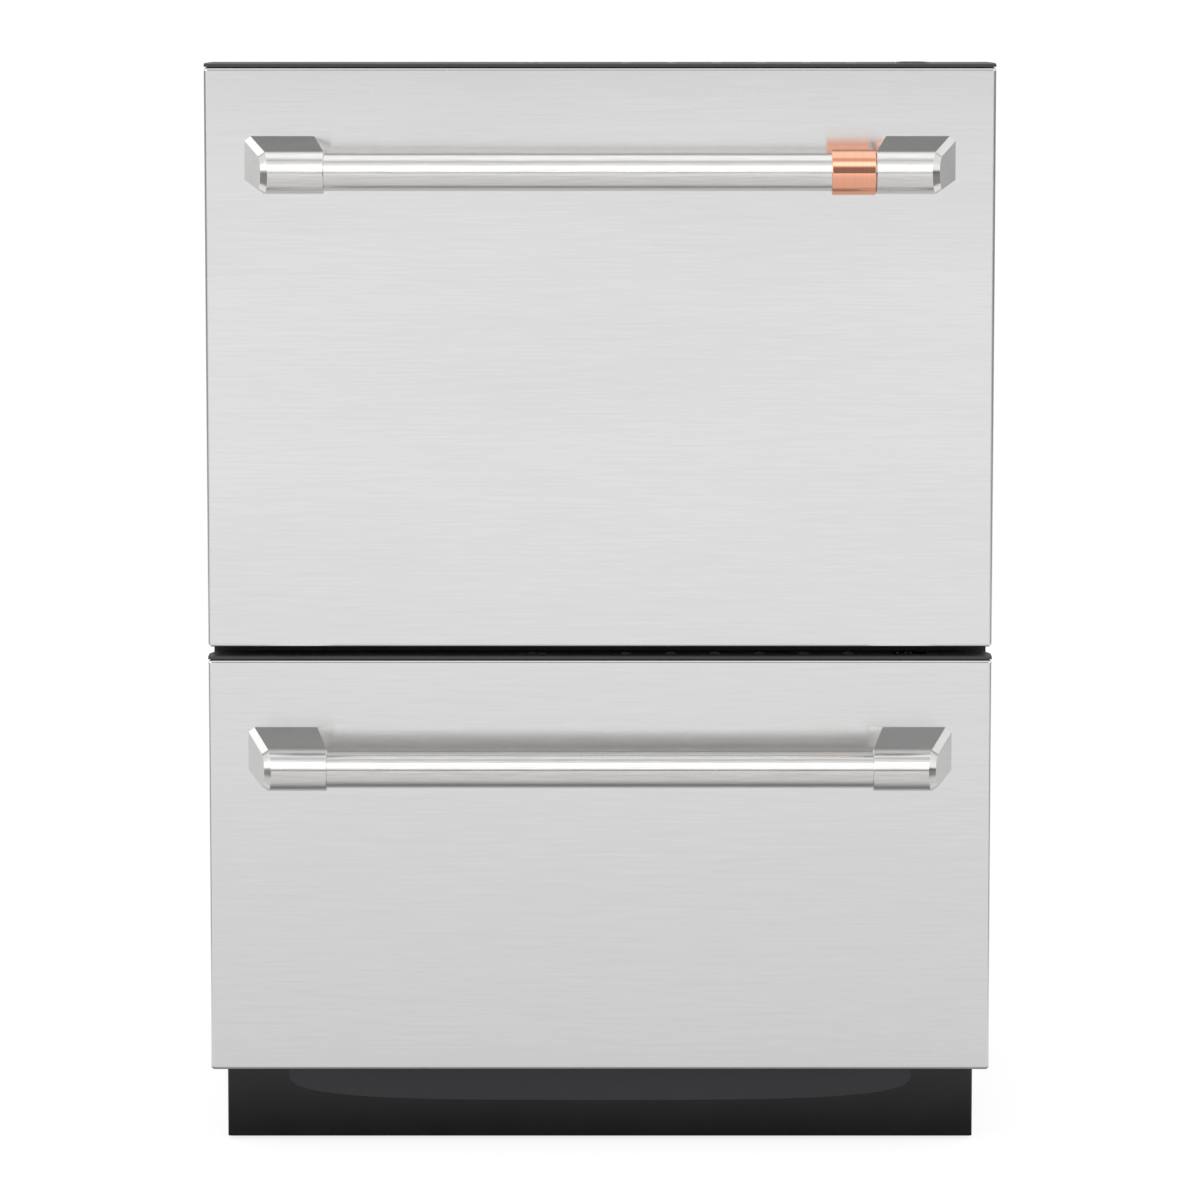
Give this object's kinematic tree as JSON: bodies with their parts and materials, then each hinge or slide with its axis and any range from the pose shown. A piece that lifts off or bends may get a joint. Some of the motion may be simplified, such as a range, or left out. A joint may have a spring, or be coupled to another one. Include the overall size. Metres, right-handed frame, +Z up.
{
  "type": "dishwasher drawer",
  "caption": "Built-in dishwasher with stacked pull-out wash drawers, brushed stainless fronts, tubular bar handles, wire racks, spray arms and lids that come down to seal each tub.",
  "frame": {"origin": "on the floor under the middle of the machine's outline, with both drawers shut and the feet screwed in", "axes": "+Z up, -Y towards the person at the fronts, +X to that person's right"},
  "size_m": [0.598, 0.649, 0.8374],
  "materials": {
    "stainless": "fine horizontal brushed grain",
    "satin_metal": "satin, lightly brushed along its length",
    "copper": "polished copper",
    "galvanised": "galvanised sheet, matt with faint spangle",
    "slide_steel": "bright zinc",
    "dark_plastic": "fine moulded grain",
    "black_gloss": "semi-gloss black",
    "black_plastic": "moulded, dull",
    "tub_plastic": "moulded, satin",
    "grey_plastic": "moulded, satin",
    "rack_coat": "dipped nylon coating",
    "seal_rubber": "dull black rubber"
  },
  "bodies": {
    "chassis": {"casing": "galvanised", "rear_panel": "galvanised", "base_tray": "dark_plastic", "mid_rail": "galvanised", "toe_kick": "black_gloss", "hose_plate": "grey_plastic", "terminal_box": "galvanised", "upper_lid_lifter": "black_plastic", "lower_lid_lifter": "black_plastic", "upper_outer_slide_left": "slide_steel", "upper_outer_slide_right": "slide_steel", "lower_outer_slide_left": "slide_steel", "lower_outer_slide_right": "slide_steel"},
    "foot_front_left": {"foot_front_left": "black_plastic"},
    "foot_front_right": {"foot_front_right": "black_plastic"},
    "foot_back_left": {"foot_back_left": "black_plastic"},
    "foot_back_right": {"foot_back_right": "black_plastic"},
    "upper_lid": {"upper_lid": "grey_plastic", "upper_lid_seal": "seal_rubber"},
    "lower_lid": {"lower_lid": "grey_plastic", "lower_lid_seal": "seal_rubber"},
    "upper_mid_slides": {"upper_mid_slide_left": "slide_steel", "upper_mid_slide_right": "slide_steel"},
    "lower_mid_slides": {"lower_mid_slide_left": "slide_steel", "lower_mid_slide_right": "slide_steel"},
    "upper_drawer": {"upper_tub": "tub_plastic", "upper_filter_plate": "grey_plastic", "upper_wash_motor": "black_plastic", "upper_rack": "rack_coat", "upper_dispenser": "grey_plastic", "upper_front_skin": "stainless", "upper_front_frame": "dark_plastic", "upper_handle_bar": "satin_metal", "upper_bracket_left": "satin_metal", "upper_bracket_right": "satin_metal", "upper_inner_slide_left": "slide_steel", "upper_inner_slide_right": "slide_steel", "copper_band": "copper", "cutlery_basket": "grey_plastic"},
    "lower_drawer": {"lower_tub": "tub_plastic", "lower_filter_plate": "grey_plastic", "lower_wash_motor": "black_plastic", "lower_rack": "rack_coat", "lower_dispenser": "grey_plastic", "lower_front_skin": "stainless", "lower_front_frame": "dark_plastic", "lower_handle_bar": "satin_metal", "lower_bracket_left": "satin_metal", "lower_bracket_right": "satin_metal", "lower_inner_slide_left": "slide_steel", "lower_inner_slide_right": "slide_steel"},
    "upper_spray_arm": {"upper_spray_arm": "grey_plastic"},
    "lower_spray_arm": {"lower_spray_arm": "grey_plastic"},
    "upper_folding_tines": {"upper_folding_tines": "rack_coat"},
    "lower_folding_tines": {"lower_folding_tines": "rack_coat"},
    "upper_dispenser_lid": {"upper_dispenser_lid": "dark_plastic"},
    "lower_dispenser_lid": {"lower_dispenser_lid": "dark_plastic"},
    "upper_power_button": {"upper_power_button": "black_gloss"},
    "lower_power_button": {"lower_power_button": "black_gloss"}
  },
  "joints": [
    {"name": "upper_drawer_pull", "type": "slide", "parent": "chassis", "child": "upper_drawer", "axis": [0, -1, 0], "range_m": [0, 0.5]},
    {"name": "upper_mid_slides_run", "type": "slide", "parent": "chassis", "child": "upper_mid_slides", "axis": [0, -1, 0], "range_m": [0, 0.25]},
    {"name": "lower_drawer_pull", "type": "slide", "parent": "chassis", "child": "lower_drawer", "axis": [0, -1, 0], "range_m": [0, 0.5]},
    {"name": "lower_mid_slides_run", "type": "slide", "parent": "chassis", "child": "lower_mid_slides", "axis": [0, -1, 0], "range_m": [0, 0.25]},
    {"name": "upper_lid_lower", "type": "slide", "parent": "chassis", "child": "upper_lid", "axis": [0, 0, 1], "range_m": [-0.008, 0]},
    {"name": "lower_lid_lower", "type": "slide", "parent": "chassis", "child": "lower_lid", "axis": [0, 0, 1], "range_m": [-0.008, 0]},
    {"name": "upper_spray_arm_spin", "type": "hinge", "parent": "upper_drawer", "child": "upper_spray_arm", "pos_m": [0, 0.0379, 0.467], "axis": [0, 0, 1], "continuous": true},
    {"name": "lower_spray_arm_spin", "type": "hinge", "parent": "lower_drawer", "child": "lower_spray_arm", "pos_m": [0, 0.0379, 0.15], "axis": [0, 0, 1], "continuous": true},
    {"name": "upper_tines_fold", "type": "hinge", "parent": "upper_drawer", "child": "upper_folding_tines", "pos_m": [0.02, 0.07025, 0.496], "axis": [1, 0, 0], "range_deg": [0, 85]},
    {"name": "lower_tines_fold", "type": "hinge", "parent": "lower_drawer", "child": "lower_folding_tines", "pos_m": [-0.065, 0.07025, 0.179], "axis": [1, 0, 0], "range_deg": [0, 85]},
    {"name": "upper_dispenser_lid_slide", "type": "slide", "parent": "upper_drawer", "child": "upper_dispenser_lid", "axis": [1, 0, 0], "range_m": [0, 0.068]},
    {"name": "lower_dispenser_lid_slide", "type": "slide", "parent": "lower_drawer", "child": "lower_dispenser_lid", "axis": [1, 0, 0], "range_m": [0, 0.068]},
    {"name": "upper_power_button_press", "type": "slide", "parent": "upper_drawer", "child": "upper_power_button", "axis": [0, 0, -1], "range_m": [0, 0.002], "stiffness_N_per_m": 400, "springref_m": -0.001},
    {"name": "lower_power_button_press", "type": "slide", "parent": "lower_drawer", "child": "lower_power_button", "axis": [0, 0, -1], "range_m": [0, 0.002], "stiffness_N_per_m": 400, "springref_m": -0.001},
    {"name": "foot_front_left_screw", "type": "slide", "parent": "chassis", "child": "foot_front_left", "axis": [0, 0, -1], "range_m": [0, 0.05]},
    {"name": "foot_front_right_screw", "type": "slide", "parent": "chassis", "child": "foot_front_right", "axis": [0, 0, -1], "range_m": [0, 0.05]},
    {"name": "foot_back_left_screw", "type": "slide", "parent": "chassis", "child": "foot_back_left", "axis": [0, 0, -1], "range_m": [0, 0.05]},
    {"name": "foot_back_right_screw", "type": "slide", "parent": "chassis", "child": "foot_back_right", "axis": [0, 0, -1], "range_m": [0, 0.05]}
  ],
  "couplings": [
    {"joint": "upper_mid_slides_run", "follows": "upper_drawer_pull", "ratio": 0.5},
    {"joint": "lower_mid_slides_run", "follows": "lower_drawer_pull", "ratio": 0.5}
  ]
}
